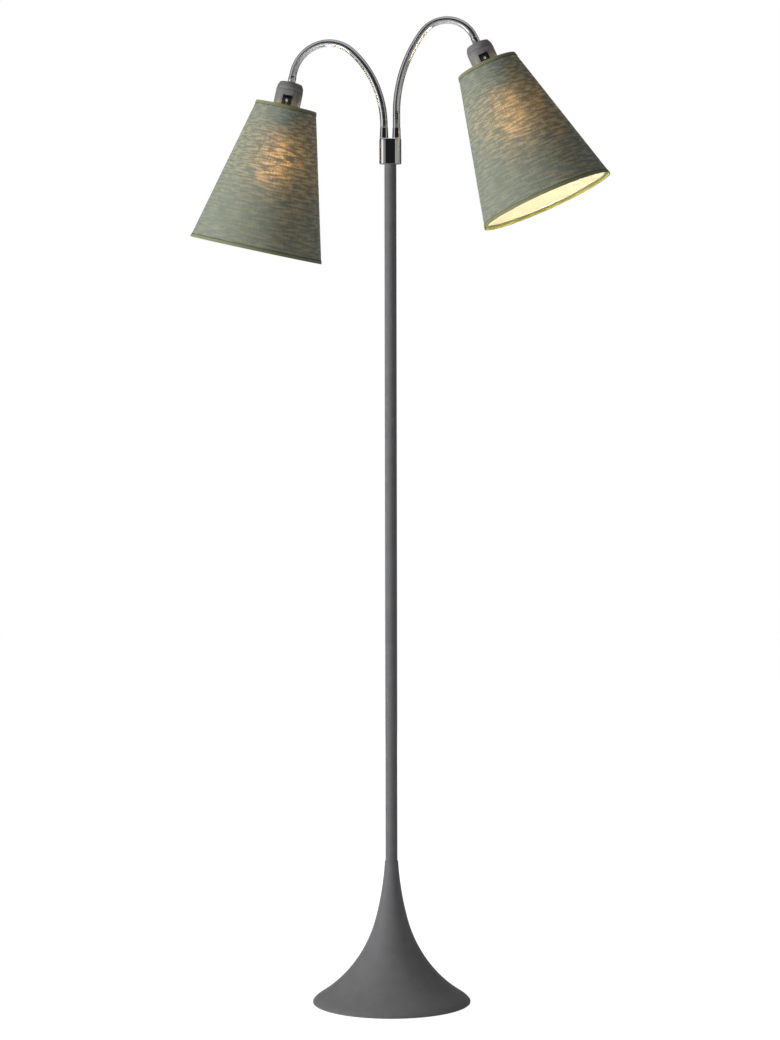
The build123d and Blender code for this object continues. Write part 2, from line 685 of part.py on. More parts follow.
for arm in ARMS:
    save(make_ferrule(arm), f"{arm.name}_ferrule")
    for number in range(1, LINKS + 1):
        save(make_link(arm, number), f"{arm.name}_gooseneck_{number}")
    save(make_end_sleeve(arm), f"{arm.name}_end_sleeve")
    save(make_holder_cap(arm), f"{arm.name}_holder_cap")
    save(make_holder_body(arm), f"{arm.name}_holder_body")
    save(make_rocker_bezel(arm), f"{arm.name}_rocker_bezel")
    save(make_rocker(arm), f"{arm.name}_rocker")
    save(make_holder_core(arm), f"{arm.name}_holder_core")
    save(make_socket_contacts(arm), f"{arm.name}_socket_contacts")
    save(make_bulb_cap(arm), f"{arm.name}_bulb_cap")
    save(make_bulb_glass(arm), f"{arm.name}_bulb_glass")
    save(shade_band(arm, SHADE_TOP, SHADE_END, -SHADE_WALL, 0), f"{arm.name}_shade_fabric")
    save(make_shade_trim(arm), f"{arm.name}_shade_trim")
    save(make_shade_frame(arm), f"{arm.name}_shade_frame")
    save(make_lock_ring(arm), f"{arm.name}_lock_ring")
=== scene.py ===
# %% [markdown]
# # A floor lamp with two flexible arms
#
# The lamp stands on a painted trumpet base with a slim painted column. A chrome collar on the column
# holds two wound steel arms, and each arm carries a plastic lampholder with a linen shade. The frame
# gives every piece's place and the bodies that move. This script gives the pieces their visible form
# and their finish. Lengths are in metres.

# %% The frame and the box that the solids fill
import json
from math import atan2, cos, hypot, pi, radians, sin, tau

import bmesh
import bpy
from mathutils import Matrix, Vector

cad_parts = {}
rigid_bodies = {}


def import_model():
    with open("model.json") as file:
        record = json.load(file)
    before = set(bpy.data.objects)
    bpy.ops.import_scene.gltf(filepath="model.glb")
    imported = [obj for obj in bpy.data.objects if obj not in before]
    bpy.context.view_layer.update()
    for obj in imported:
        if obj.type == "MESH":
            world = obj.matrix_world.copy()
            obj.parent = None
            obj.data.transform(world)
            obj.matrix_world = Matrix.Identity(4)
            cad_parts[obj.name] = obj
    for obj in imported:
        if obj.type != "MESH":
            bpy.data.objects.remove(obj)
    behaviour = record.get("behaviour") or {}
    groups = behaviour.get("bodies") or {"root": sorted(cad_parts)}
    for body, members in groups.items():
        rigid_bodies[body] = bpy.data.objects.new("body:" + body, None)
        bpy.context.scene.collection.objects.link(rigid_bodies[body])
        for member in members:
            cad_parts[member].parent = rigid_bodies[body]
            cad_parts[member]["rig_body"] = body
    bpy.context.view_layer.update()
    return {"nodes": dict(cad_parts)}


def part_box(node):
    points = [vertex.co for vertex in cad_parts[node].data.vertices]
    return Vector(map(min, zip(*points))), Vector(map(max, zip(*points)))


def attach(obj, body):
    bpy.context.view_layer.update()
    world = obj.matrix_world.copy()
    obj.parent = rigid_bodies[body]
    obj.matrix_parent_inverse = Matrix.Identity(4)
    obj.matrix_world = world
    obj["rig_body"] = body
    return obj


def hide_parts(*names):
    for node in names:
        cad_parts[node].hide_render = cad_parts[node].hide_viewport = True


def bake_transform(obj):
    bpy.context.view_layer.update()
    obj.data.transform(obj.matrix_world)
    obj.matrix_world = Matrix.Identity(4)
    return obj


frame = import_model()
MM = 0.001

# %% [markdown]
# ## Camera
#
# The column stays upright in the picture and both rims of the base are almost level, so the camera
# looks straight ahead at about chest height from a few metres away. It frames the lamp by shifting the
# lens down, as a view camera does, and doesn't tilt: a tilt would make the column lean.

# %% Camera
CAMERA_DISTANCE = 4.0
CAMERA_HEIGHT = 0.864
FOCAL_PIXELS = 2667.0  # the focal length measured in pixels of the picture
PICTURE = (780, 1040)
HORIZON_ROW = 426.0
COLUMN_PLACE = 390.8  # the picture's column of pixels that the lamp's axis stands on
CAMERA_ROLL = 0.098  # degrees
SENSOR = 36.0

camera = bpy.data.cameras.new("camera")
camera.sensor_width = SENSOR
camera.lens = FOCAL_PIXELS / PICTURE[1] * SENSOR
camera.shift_y = (HORIZON_ROW - PICTURE[1] / 2) / PICTURE[1]
camera.shift_x = (PICTURE[0] / 2 - COLUMN_PLACE) / PICTURE[1]
camera_object = bpy.data.objects.new("camera", camera)
camera_object.location = (0, -CAMERA_DISTANCE, CAMERA_HEIGHT)
camera_object.rotation_euler = (radians(90), radians(CAMERA_ROLL), 0)
bpy.context.scene.collection.objects.link(camera_object)
bpy.context.scene.camera = camera_object
print("lens", round(camera.lens, 1))

# %% [markdown]
# ## Light
#
# The lamp is lit by one large soft light on the left and a weak one on the right, so round pieces go
# from pale on the left to dark on the right. A third light behind it is there for the other sides.
# Chrome has no colour of its own and only shows the room, so the world gives glossy rays a studio: dark
# where the camera stands, bright panels at both sides, another set of panels a little higher up, and a
# pale ceiling. The picture's background is white, which the world shows to camera rays and to rays that
# went through something.

# %% Colour handling and lights
scene = bpy.context.scene
scene.view_settings.view_transform = "Standard"


def soft_light(name, place, target, size, watts):
    """A rectangular light that looks at a target."""
    lamp = bpy.data.lights.new(name, "AREA")
    lamp.shape = "RECTANGLE"
    lamp.size, lamp.size_y = size
    lamp.energy = watts
    light = bpy.data.objects.new(name, lamp)
    light.location = place
    light.rotation_euler = (Vector(target) - Vector(place)).to_track_quat("-Z", "Y").to_euler()
    light.visible_glossy = False
    scene.collection.objects.link(light)


MIDDLE = (0, 0, 0.8)
soft_light("key", (-3.0, -1.3, 1.3), MIDDLE, (1.2, 2.6), 130)
soft_light("fill", (2.6, -2.6, 1.2), MIDDLE, (1.5, 2.5), 4)
soft_light("back", (0.3, 3.2, 1.6), MIDDLE, (2.4, 2.6), 55)


# %% [markdown]
# A few short functions build the nodes. Their owner is a material or the world, and a value that they
# take may be another node's socket, a number, or a colour's three numbers.

# %% Helpers for nodes
def feed(owner, socket, value):
    """Give a socket its value."""
    if isinstance(value, bpy.types.NodeSocket):
        owner.node_tree.links.new(value, socket)
    elif isinstance(value, tuple):
        socket.default_value = (*value, 1)
    else:
        socket.default_value = value


def add_math(owner, operation, first, second=0.0):
    """The result of a sum on two values."""
    node = owner.node_tree.nodes.new("ShaderNodeMath")
    node.operation = operation
    feed(owner, node.inputs[0], first)
    feed(owner, node.inputs[1], second)
    return node.outputs[0]


def remap(owner, value, low, high, start=0.3, end=0.7):
    """A value from start to end, spread from low to high."""
    node = owner.node_tree.nodes.new("ShaderNodeMapRange")
    node.inputs["From Min"].default_value = start
    node.inputs["From Max"].default_value = end
    node.inputs["To Min"].default_value = low
    node.inputs["To Max"].default_value = high
    feed(owner, node.inputs["Value"], value)
    return node.outputs["Result"]


def mix_colours(owner, share, first, second):
    """A colour between two others."""
    node = owner.node_tree.nodes.new("ShaderNodeMix")
    node.data_type = "RGBA"
    sockets = {socket.identifier: socket for socket in (*node.inputs, *node.outputs)}
    feed(owner, sockets["A_Color"], first)
    feed(owner, sockets["B_Color"], second)
    feed(owner, node.inputs["Factor"], share)
    return sockets["Result_Color"]


def mix_shaders(owner, share, first, second):
    """A surface between two others."""
    node = owner.node_tree.nodes.new("ShaderNodeMixShader")
    feed(owner, node.inputs["Fac"], share)
    feed(owner, node.inputs[1], first)
    feed(owner, node.inputs[2], second)
    return node.outputs[0]


# %% World: white for the camera, a studio for chrome, a soft grey for everything else
# Stops as (degrees from the camera's own direction, value): negative is left of the camera
LEVEL = ((-180, 0.05), (-90, 0.06), (-82, 1.05), (-50, 1.05), (-45, 0.27), (-9, 0.27), (-5, 0.015), (5, 0.015),
         (8, 0.55), (18, 0.36), (95, 0.38), (103, 0.05), (180, 0.05))
ABOVE = ((-180, 0.05), (-112, 0.05), (-104, 0.55), (-58, 0.55), (-50, 0.015), (52, 0.015), (60, 0.42), (110, 0.42),
         (118, 0.05), (180, 0.05))
BLUENESS = 1.01  # blue of the panels over their red and green
BAND = (0.109, 0.113)  # the sine of the height at which the upper set takes over
CEILING = (0.70, 0.85)  # the sine of the height at which the pale ceiling takes over
CEILING_VALUE = 0.50
AMBIENT = 0.24
AMBIENT_COLOUR = (0.96, 0.98, 1.0)
WHITE = (1, 1, 1)

world = bpy.data.worlds.new("studio")
scene.world = world
world.use_nodes = True
nodes, links = world.node_tree.nodes, world.node_tree.links
nodes.clear()
towards = nodes.new("ShaderNodeSeparateXYZ")
links.new(nodes.new("ShaderNodeTexCoord").outputs["Generated"], towards.inputs[0])
ahead = add_math(world, "MULTIPLY", towards.outputs["Y"], -1)
around = remap(world, add_math(world, "ARCTAN2", towards.outputs["X"], ahead), 0, 1, -pi, pi)
panels = []
for stops in (LEVEL, ABOVE):
    ramp = nodes.new("ShaderNodeValToRGB")
    elements = ramp.color_ramp.elements
    while len(elements) < len(stops):
        elements.new(0.5)
    for element, (angle, value) in zip(elements, stops):
        element.position = (angle + 180) / 360
        element.color = (value, value, value * BLUENESS, 1)
    links.new(around, ramp.inputs["Fac"])
    panels.append(ramp.outputs["Color"])
height = towards.outputs["Z"]
walls = mix_colours(world, remap(world, height, 0, 1, *BAND), *panels)
room = mix_colours(world, remap(world, height, 0, 1, *CEILING), walls, (CEILING_VALUE,) * 3)


def background(colour, strength=1.0):
    """What the world shows."""
    node = nodes.new("ShaderNodeBackground")
    feed(world, node.inputs["Color"], colour)
    node.inputs["Strength"].default_value = strength
    return node.outputs[0]


path = nodes.new("ShaderNodeLightPath")
straight = add_math(world, "MAXIMUM", path.outputs["Is Camera Ray"], path.outputs["Is Transmission Ray"])
unseen = mix_shaders(world, path.outputs["Is Glossy Ray"], background(AMBIENT_COLOUR, AMBIENT), background(room))
output = nodes.new("ShaderNodeOutputWorld")
links.new(mix_shaders(world, straight, unseen, background(WHITE)), output.inputs["Surface"])
print("studio stops", len(LEVEL), len(ABOVE))


# %% [markdown]
# ## Finishes
#
# Every finish is a few nodes: a colour with a little variation, a roughness and a fine relief. Patterns
# read Object coordinates, which are real lengths here, so a texture's scale says how many grains fit in
# a metre. Cloth reads its own UV map, because its threads follow the surface.

# %% Helpers for finishes
def finish(name, colour, roughness, metallic=0.0, specular=0.5):
    """A material with its main shader set, ready for grain."""
    material = bpy.data.materials.new(name)
    material.use_nodes = True
    shader = material.node_tree.nodes["Principled BSDF"]
    shader.inputs["Base Color"].default_value = (*colour, 1)
    shader.inputs["Roughness"].default_value = roughness
    shader.inputs["Metallic"].default_value = metallic
    shader.inputs["Specular IOR Level"].default_value = specular
    return material


def add_noise(material, scale, detail=3.0, coordinates="Object", stretch=(1, 1, 1)):
    """A noise texture whose grains are 1 / scale long, stretched by axis."""
    tree = material.node_tree
    source = tree.nodes.new("ShaderNodeTexCoord")
    mapping = tree.nodes.new("ShaderNodeMapping")
    mapping.inputs["Scale"].default_value = stretch
    noise = tree.nodes.new("ShaderNodeTexNoise")
    noise.inputs["Scale"].default_value = scale
    noise.inputs["Detail"].default_value = detail
    tree.links.new(source.outputs[coordinates], mapping.inputs["Vector"])
    tree.links.new(mapping.outputs["Vector"], noise.inputs["Vector"])
    return noise.outputs["Fac"]


def set_input(material, name, value):
    """Give a socket of the main shader its value."""
    feed(material, material.node_tree.nodes["Principled BSDF"].inputs[name], value)


def add_relief(material, height, depth):
    """Bump from a height of 0 to 1, depth metres deep."""
    bump = material.node_tree.nodes.new("ShaderNodeBump")
    bump.inputs["Strength"].default_value = 1.0
    bump.inputs["Distance"].default_value = depth
    material.node_tree.links.new(height, bump.inputs["Height"])
    set_input(material, "Normal", bump.outputs["Normal"])


def speckle(material, colour, spread, scale):
    """Vary a colour by a share of itself."""
    share = remap(material, add_noise(material, scale), 0, 1)
    darker = tuple(c * (1 - spread) for c in colour)
    lighter = tuple(c * (1 + spread) for c in colour)
    set_input(material, "Base Color", mix_colours(material, share, darker, lighter))


# %% [markdown]
# Powder coat is paint that was melted on as dust, so it has a very fine orange-peel relief and a soft,
# broad highlight. Moulded plastic is alike but a little smoother. Chrome is smooth, and only faint
# smears in its roughness keep it from looking like a drawing.

# %% Paint, plastic and metal
PAINT = (0.128, 0.128, 0.132)
grey_paint = finish("grey_powder_coat", PAINT, 0.5, specular=0.4)
speckle(grey_paint, PAINT, 0.06, 60)
add_relief(grey_paint, add_noise(grey_paint, 1400, 2.0), 0.00004)

PLASTIC = (0.15, 0.15, 0.157)
grey_plastic = finish("grey_moulded_plastic", PLASTIC, 0.42, specular=0.45)
speckle(grey_plastic, PLASTIC, 0.05, 150)
add_relief(grey_plastic, add_noise(grey_plastic, 2500, 2.0), 0.00003)

BLACK = (0.012, 0.012, 0.015)
black_plastic = finish("black_gloss_plastic", BLACK, 0.22)
speckle(black_plastic, BLACK, 0.15, 400)
add_relief(black_plastic, add_noise(black_plastic, 2500, 2.0), 0.00001)

MARK = (0.45, 0.46, 0.50)
mark_paint = finish("pale_mark_paint", MARK, 0.5)
speckle(mark_paint, MARK, 0.05, 2000)

CHROME, STEEL, BRASS = (0.80, 0.80, 0.81), (0.55, 0.55, 0.54), (0.75, 0.62, 0.36)
chrome = finish("chrome_plate", CHROME, 0.08, metallic=1.0)
set_input(chrome, "Roughness", remap(chrome, add_noise(chrome, 90), 0.02, 0.06))
add_relief(chrome, add_noise(chrome, 300, 2.0), 0.000002)

steel = finish("zinc_plated_steel", STEEL, 0.3, metallic=1.0)
set_input(steel, "Roughness", remap(steel, add_noise(steel, 300), 0.22, 0.42))
add_relief(steel, add_noise(steel, 1200), 0.00003)

IRON = (0.06, 0.058, 0.056)
cast_iron = finish("cast_iron", IRON, 0.8)
speckle(cast_iron, IRON, 0.3, 300)
add_relief(cast_iron, add_noise(cast_iron, 900), 0.0003)

brass = finish("nickelled_brass", BRASS, 0.25, metallic=1.0)
set_input(brass, "Roughness", remap(brass, add_noise(brass, 300), 0.18, 0.35))

CERAMIC = (0.80, 0.79, 0.75)
ceramic = finish("glazed_ceramic", CERAMIC, 0.25)
speckle(ceramic, CERAMIC, 0.03, 500)
add_relief(ceramic, add_noise(ceramic, 700), 0.00003)

FELT = (0.025, 0.025, 0.027)
felt = finish("black_felt", FELT, 0.95, specular=0.1)
speckle(felt, FELT, 0.4, 900)
add_relief(felt, add_noise(felt, 1500), 0.0004)
print("finishes", len(bpy.data.materials))


# %% [markdown]
# ## The linen
#
# Linen is woven from threads that swell and thin along their length. The swellings, called slubs, show
# as short streaks, mostly round the shade because the cloth was cut that way. Two stretched noises make
# the streaks of the two thread directions, and a fine one makes the grain of the weave. Where the bulb
# stands behind the cloth, its light comes out between the threads, so the glow has the same streaks in
# stronger contrast. The stiff backing lets only a small share of that light through, and warms it.

# %% Linen, backing and tape
LINEN_DARK = (0.222, 0.250, 0.200)
LINEN_PALE = (0.252, 0.284, 0.230)
OPEN_SHARE = 0.2  # of the cloth is gaps
THREAD, GAP = (0.02, 0.02, 0.015), (1.0, 0.95, 0.80)  # what thick threads and gaps leave of the light
WARM = (1.0, 0.60, 0.20)  # what the backing leaves of white light
THROUGH_ROUGHNESS = 0.65
THROUGH_IOR = 1.45
SHEEN = 0.12
SCATTERED = 0.008  # share of the light that the backing passes in all directions
STRAIGHT = 0.17  # share that it passes on about its way


def linen_threads(material):
    """Streaks of both thread directions and the weave's grain, from 0 to 1, on a UV map in metres."""
    round_streaks = add_noise(material, 50, 5.0, "UV", (1, 6, 1))
    long_streaks = add_noise(material, 60, 4.0, "UV", (9, 1, 1))
    weave = add_noise(material, 420, 2.0, "UV", (0.8, 1.3, 1))
    streaks = add_math(material, "MULTIPLY", round_streaks, 0.6)
    crossed = add_math(material, "MULTIPLY", long_streaks, 0.2)
    grain = add_math(material, "MULTIPLY", weave, 0.2)
    return add_math(material, "ADD", add_math(material, "ADD", streaks, crossed), grain)


def let_through(material, shader, colour, share):
    """Let a share of the light through a material."""
    tree = material.node_tree
    through = tree.nodes.new(shader)
    through.inputs["Color"].default_value = (*colour, 1)
    last = tree.nodes["Material Output"].inputs["Surface"]
    tree.links.new(mix_shaders(material, share, last.links[0].from_socket, through.outputs[0]), last)
    return through


linen = finish("green_linen", LINEN_PALE, 0.9, specular=0.15)
threads = linen_threads(linen)
set_input(linen, "Base Color", mix_colours(linen, remap(linen, threads, 0, 1, 0.36, 0.64), LINEN_DARK, LINEN_PALE))
add_relief(linen, threads, 0.00015)
set_input(linen, "Sheen Weight", SHEEN)
open_weave = let_through(linen, "ShaderNodeBsdfRefraction", GAP, OPEN_SHARE)
feed(linen, open_weave.inputs["Color"], mix_colours(linen, remap(linen, threads, 0, 1, 0.46, 0.58), THREAD, GAP))
open_weave.inputs["Roughness"].default_value = THROUGH_ROUGHNESS
open_weave.inputs["IOR"].default_value = THROUGH_IOR

BACKING = (0.86, 0.83, 0.72)
backing = finish("white_shade_backing", BACKING, 0.6, specular=0.3)
speckle(backing, BACKING, 0.02, 200)
add_relief(backing, add_noise(backing, 900), 0.00005)
let_through(backing, "ShaderNodeBsdfTranslucent", WARM, SCATTERED)
blur = let_through(backing, "ShaderNodeBsdfRefraction", WARM, STRAIGHT)
blur.inputs["Roughness"].default_value = THROUGH_ROUGHNESS
blur.inputs["IOR"].default_value = THROUGH_IOR

TAPE_DARK, TAPE_PALE = (0.170, 0.182, 0.098), (0.245, 0.260, 0.150)
TWILL_ANGLE = radians(50)
tape = finish("olive_twill_tape", TAPE_PALE, 0.85, specular=0.2)
twill = tape.node_tree.nodes.new("ShaderNodeTexWave")
twill.inputs["Scale"].default_value = 260
twill.inputs["Distortion"].default_value = 0.6
slant = tape.node_tree.nodes.new("ShaderNodeMapping")
slant.inputs["Rotation"].default_value = (0, 0, TWILL_ANGLE)
feed(tape, slant.inputs["Vector"], tape.node_tree.nodes.new("ShaderNodeTexCoord").outputs["UV"])
feed(tape, twill.inputs["Vector"], slant.outputs["Vector"])
ribs = add_math(tape, "MULTIPLY", add_math(tape, "ADD", twill.outputs["Fac"], add_noise(tape, 250, 3.0, "UV")), 0.5)
set_input(tape, "Base Color", mix_colours(tape, remap(tape, ribs, 0, 1), TAPE_DARK, TAPE_PALE))
add_relief(tape, ribs, 0.0003)
# Painted bulb light: the tape's inner side gets a paler, yellower copy of the tape, for the light that falls on it
# from the bulb.
TAPE_BULB_LIT = (0.52, 0.53, 0.15)
lit_tape = finish("tape_painted_bulb_light", TAPE_BULB_LIT, 0.8, specular=0.2)
speckle(lit_tape, TAPE_BULB_LIT, 0.1, 300)
# Painted shadow: a dark strip along the tape's outer edge stands for the shade that the tape's edge throws on the
# cloth.
TAPE_EDGE_SHADOW = (0.055, 0.06, 0.03)
tape_edge = finish("tape_edge_painted_shadow", TAPE_EDGE_SHADOW, 0.9, specular=0.1)
speckle(tape_edge, TAPE_EDGE_SHADOW, 0.2, 600)

FROST = (0.95, 0.93, 0.88)
BULB_LIGHT = (1.0, 0.84, 0.60)
BULB_STRENGTH = 22.0
bulb_frost = finish("frosted_bulb", FROST, 0.4)
speckle(bulb_frost, FROST, 0.01, 300)
set_input(bulb_frost, "Emission Color", BULB_LIGHT)
set_input(bulb_frost, "Emission Strength", BULB_STRENGTH)
print("cloth finishes done")


# %% [markdown]
# ## Shapes
#
# Most of the lamp is turned or drawn: an outline of radius and height, spun about an axis. A spun piece
# needs its outline's corners rounded first, because no real edge is perfectly sharp and the small
# highlight on an edge is what makes metal and plastic read as such. Pieces with a window or flats are
# taken from the solid, merged, cleaned and beveled, so they keep their exact place.

# %% Helpers for shapes
SHARP = radians(38)


def make_object(bm, name, material, smooth=True):
    """Turn a bmesh into an object at the origin, with soft shading between faces that nearly line up."""
    bmesh.ops.dissolve_degenerate(bm, dist=1e-7, edges=bm.edges)
    bm.normal_update()
    bmesh.ops.recalc_face_normals(bm, faces=bm.faces)
    if bm.calc_volume(signed=True) < 0:
        bmesh.ops.reverse_faces(bm, faces=bm.faces)
    for edge in bm.edges:
        edge.smooth = smooth and (len(edge.link_faces) != 2 or edge.calc_face_angle(0) < SHARP)
    for face in bm.faces:
        face.smooth = smooth
    mesh = bpy.data.meshes.new(name)
    bm.to_mesh(mesh)
    bm.free()
    for finish_ in material if isinstance(material, (list, tuple)) else [material]:
        mesh.materials.append(finish_)
    piece = bpy.data.objects.new(name, mesh)
    scene.collection.objects.link(piece)
    return piece


def outline_bmesh(outline, rounding, closed):
    """A wire of (radius, height) points in the XZ plane, with its inner corners rounded."""
    bm = bmesh.new()
    points = [bm.verts.new((radius, 0, height)) for radius, height in outline]
    pairs = list(zip(points, points[1:])) + ([(points[-1], points[0])] if closed else [])
    for start, end in pairs:
        bm.edges.new((start, end))
    corners = points if closed else points[1:-1]
    if rounding:
        bmesh.ops.bevel(bm, geom=corners, offset=rounding, offset_type="OFFSET", segments=3, profile=0.5,
                        affect="VERTICES", clamp_overlap=True, material=-1)
    return bm


def spun_bmesh(outline, rounding=0.0, closed=False, steps=96):
    """A turned shape about the Z axis."""
    bm = outline_bmesh(outline, rounding, closed)
    bmesh.ops.spin(bm, geom=bm.verts[:] + bm.edges[:], cent=(0, 0, 0), axis=(0, 0, 1), angle=tau, steps=steps,
                   use_merge=True, use_duplicate=False)
    bmesh.ops.remove_doubles(bm, verts=bm.verts, dist=1e-6)
    return bm


def spun(name, outline, material, place=Matrix(), rounding=0.0, closed=False, steps=96):
    """A turned piece, set in place."""
    bm = spun_bmesh(outline, rounding, closed, steps)
    bm.transform(place)
    return make_object(bm, name, material)


def dressed(node, material, bevel=0.0002):
    """The node's own shape as a clean mesh with its hard edges beveled. It stands for the node."""
    bm = bmesh.new()
    bm.from_mesh(frame["nodes"][node].data)
    bmesh.ops.remove_doubles(bm, verts=bm.verts, dist=2e-6)
    bmesh.ops.dissolve_limit(bm, angle_limit=radians(1), verts=bm.verts, edges=bm.edges)
    if bevel:
        hard = [e for e in bm.edges if len(e.link_faces) == 2 and e.calc_face_angle(0) > SHARP]
        bmesh.ops.bevel(bm, geom=hard, offset=bevel, offset_type="OFFSET", segments=2, profile=0.5,
                        affect="EDGES", clamp_overlap=True, material=-1)
    piece = make_object(bm, node + "_piece", material)
    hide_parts(node)
    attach(piece, frame["nodes"][node]["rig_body"])
    return piece


def stands_for(piece, slot, *nodes):
    """A new piece rides with the nodes that it replaces."""
    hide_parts(*nodes)
    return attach(piece, frame["nodes"][nodes[0]]["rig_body"])


def set_length_uv(piece, place):
    """UV in metres on a turned piece: round its axis, and along it from the place's origin."""
    mesh = piece.data
    layer = mesh.uv_layers.new(name="cloth")
    local = place.inverted()
    points = [local @ vertex.co for vertex in mesh.vertices]
    mean = sum(hypot(p.x, p.y) for p in points) / len(points)
    for face in mesh.polygons:
        first = None
        for index in face.loop_indices:
            p = points[mesh.loops[index].vertex_index]
            angle = atan2(p.y, p.x)
            first = angle if first is None else first
            angle += tau * round((first - angle) / tau)
            layer.data[index].uv = (angle * mean, p.z)


# %% [markdown]
# ## Base
#
# The trumpet is spun sheet metal: a lathe presses a disc over a form, so its outline is one smooth line.
# Three arcs that run into each other give that line, and the wall is a second line inside it.

# %% Trumpet
BASE_RADIUS = 118 * MM
BASE_TOP = 212 * MM
NECK = 10 * MM
BELL_WALL = 3.2 * MM
NECK_SLOPE = 3.5
FLARE = ((24.15 * MM, 125.06 * MM), (109.47 * MM, 10.73 * MM), (118 * MM, 3 * MM))
RIM_LIFT = 1 * MM
ARC_STEPS = 14
LIP = 2 * MM  # of the wall at the rim that has no inner line
THROAT = 13 * MM  # the outer radius from which the inner line follows the outer one
BORE, BORE_FOOT = 9.05 * MM, 185 * MM  # the bore that the column stands in


def arc_between(start, end, heading, steps):
    """Points on the arc that leaves start along heading and ends at end, and its heading there."""
    chord = end - start
    bend = 2 * heading.angle_signed(chord)
    points = []
    for step in range(1, steps + 1):
        turn_ = bend * step / steps
        reach = chord.length * sin(turn_ / 2) / sin(bend / 2) if abs(bend) > 1e-6 else chord.length * step / steps
        points.append(start + Matrix.Rotation(-turn_ / 2, 2) @ heading * reach)
    return points, Matrix.Rotation(-bend, 2) @ heading


heading = Vector((sin(radians(NECK_SLOPE)), -cos(radians(NECK_SLOPE))))
flare = [Vector((NECK, BASE_TOP))]
for corner in FLARE:
    arc, heading = arc_between(flare[-1], Vector(corner), heading, ARC_STEPS)
    flare += arc
inside = [Vector((p.x - BELL_WALL, p.y)) for p in flare if p.y > RIM_LIFT + LIP and p.x > THROAT][::-1]
bell_outline = [(p.x, p.y) for p in flare] + [(BASE_RADIUS, RIM_LIFT), (BASE_RADIUS - BELL_WALL, RIM_LIFT)]
bell_outline += [(p.x, p.y) for p in inside] + [(BORE, BORE_FOOT), (BORE, BASE_TOP)]
bell = spun("trumpet_base", bell_outline, grey_paint, closed=True, steps=160)
stands_for(bell, "grey_paint", "base_bell")
print("trumpet vertices", len(bell.data.vertices))

# %% [markdown]
# The column is a plain drawn tube. It is spun as well, and stands in the trumpet's neck.

# %% Column
low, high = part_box("column_tube")
COLUMN_RADIUS = (high.x - low.x) / 2
COLUMN_WALL = 1.5 * MM
bore = COLUMN_RADIUS - COLUMN_WALL
column = spun("column", [(bore, low.z), (COLUMN_RADIUS, low.z), (COLUMN_RADIUS, high.z), (bore, high.z)], grey_paint,
              closed=True, steps=64)
stands_for(column, "grey_paint", "column_tube")

# %% [markdown]
# ## Collar and ferrules
#
# The collar is a short length of drawn tube of stadium section, plated with the ferrules as a set. A
# chrome flat only reads as flat if its normals don't lean, so the collar isn't taken from the solid: a
# turned ring is cut in two, the halves are moved apart and bridged, and the flats get a few columns of
# vertices. The ferrules are turned, a little wider at the foot.

# %% Collar and ferrules
low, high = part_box("collar_sleeve")
COLLAR_RADIUS = (high.y - low.y) / 2
COLLAR_HALF_FLAT = (high.x - low.x) / 2 - COLLAR_RADIUS
COLLAR_WALL = 1.2 * MM
COLLAR_WEB = 2 * MM  # the floor that rests on the column
COLLAR_CHAMFER = 1.1 * MM
COLLAR_END = 2 * MM  # of the wall at both ends that takes the rounding of the corners
FLAT_COLUMNS = 8
collar_inside = COLLAR_RADIUS - COLLAR_WALL
section = [(0, low.z), (COLLAR_RADIUS, low.z), (COLLAR_RADIUS, low.z + COLLAR_END),
           (COLLAR_RADIUS, high.z - COLLAR_END), (COLLAR_RADIUS, high.z - COLLAR_CHAMFER),
           (COLLAR_RADIUS - COLLAR_CHAMFER, high.z), (collar_inside, high.z), (collar_inside, low.z + COLLAR_WEB),
           (0, low.z + COLLAR_WEB)]
ring = spun_bmesh(section, 0.2 * MM, steps=160)
halves = bmesh.new()
for side in (-1, 1):
    half = ring.copy()
    bmesh.ops.bisect_plane(half, geom=half.verts[:] + half.edges[:] + half.faces[:], dist=1e-7, plane_co=(0, 0, 0),
                           plane_no=(-side, 0, 0), clear_outer=True)
    bmesh.ops.translate(half, vec=(side * COLLAR_HALF_FLAT, 0, 0), verts=half.verts)
    mesh = bpy.data.meshes.new("half")
    half.to_mesh(mesh)
    half.free()
    halves.from_mesh(mesh)
    bpy.data.meshes.remove(mesh)
ring.free()
made = bmesh.ops.bridge_loops(halves, edges=[edge for edge in halves.edges if edge.is_boundary])
across = {edge for face_ in made["faces"] for edge in face_.edges
          if abs(edge.verts[0].co.x - edge.verts[1].co.x) > MM}
bmesh.ops.subdivide_edges(halves, edges=list(across), cuts=FLAT_COLUMNS, use_grid_fill=True)
collar = make_object(halves, "collar", chrome)
stands_for(collar, "chrome", "collar_sleeve")
bridge = dressed("collar_bridge", chrome, 0.0003)
FERRULE_TOP = 5.9 * MM
FERRULE_FOOT = 6.5 * MM
FERRULE_NECK = 3.9 * MM
FERRULE_RINGS = (0.1, 0.9)  # shares of its height
COLLAR_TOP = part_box("collar_sleeve")[1].z
for side in ("left", "right"):
    low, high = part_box(side + "_ferrule")
    centre = Matrix.Translation(((low.x + high.x) / 2, 0, 0))
    outline = [(0, low.z), (FERRULE_NECK, low.z), (FERRULE_NECK, COLLAR_TOP), (FERRULE_FOOT, COLLAR_TOP),
               *[(FERRULE_FOOT + (FERRULE_TOP - FERRULE_FOOT) * s, COLLAR_TOP + (high.z - COLLAR_TOP) * s)
                 for s in FERRULE_RINGS], (FERRULE_TOP, high.z), (0, high.z)]
    ferrule = spun(side + "_ferrule_cup", outline, chrome, centre, rounding=0.5 * MM, steps=64)
    stands_for(ferrule, "chrome", side + "_ferrule")
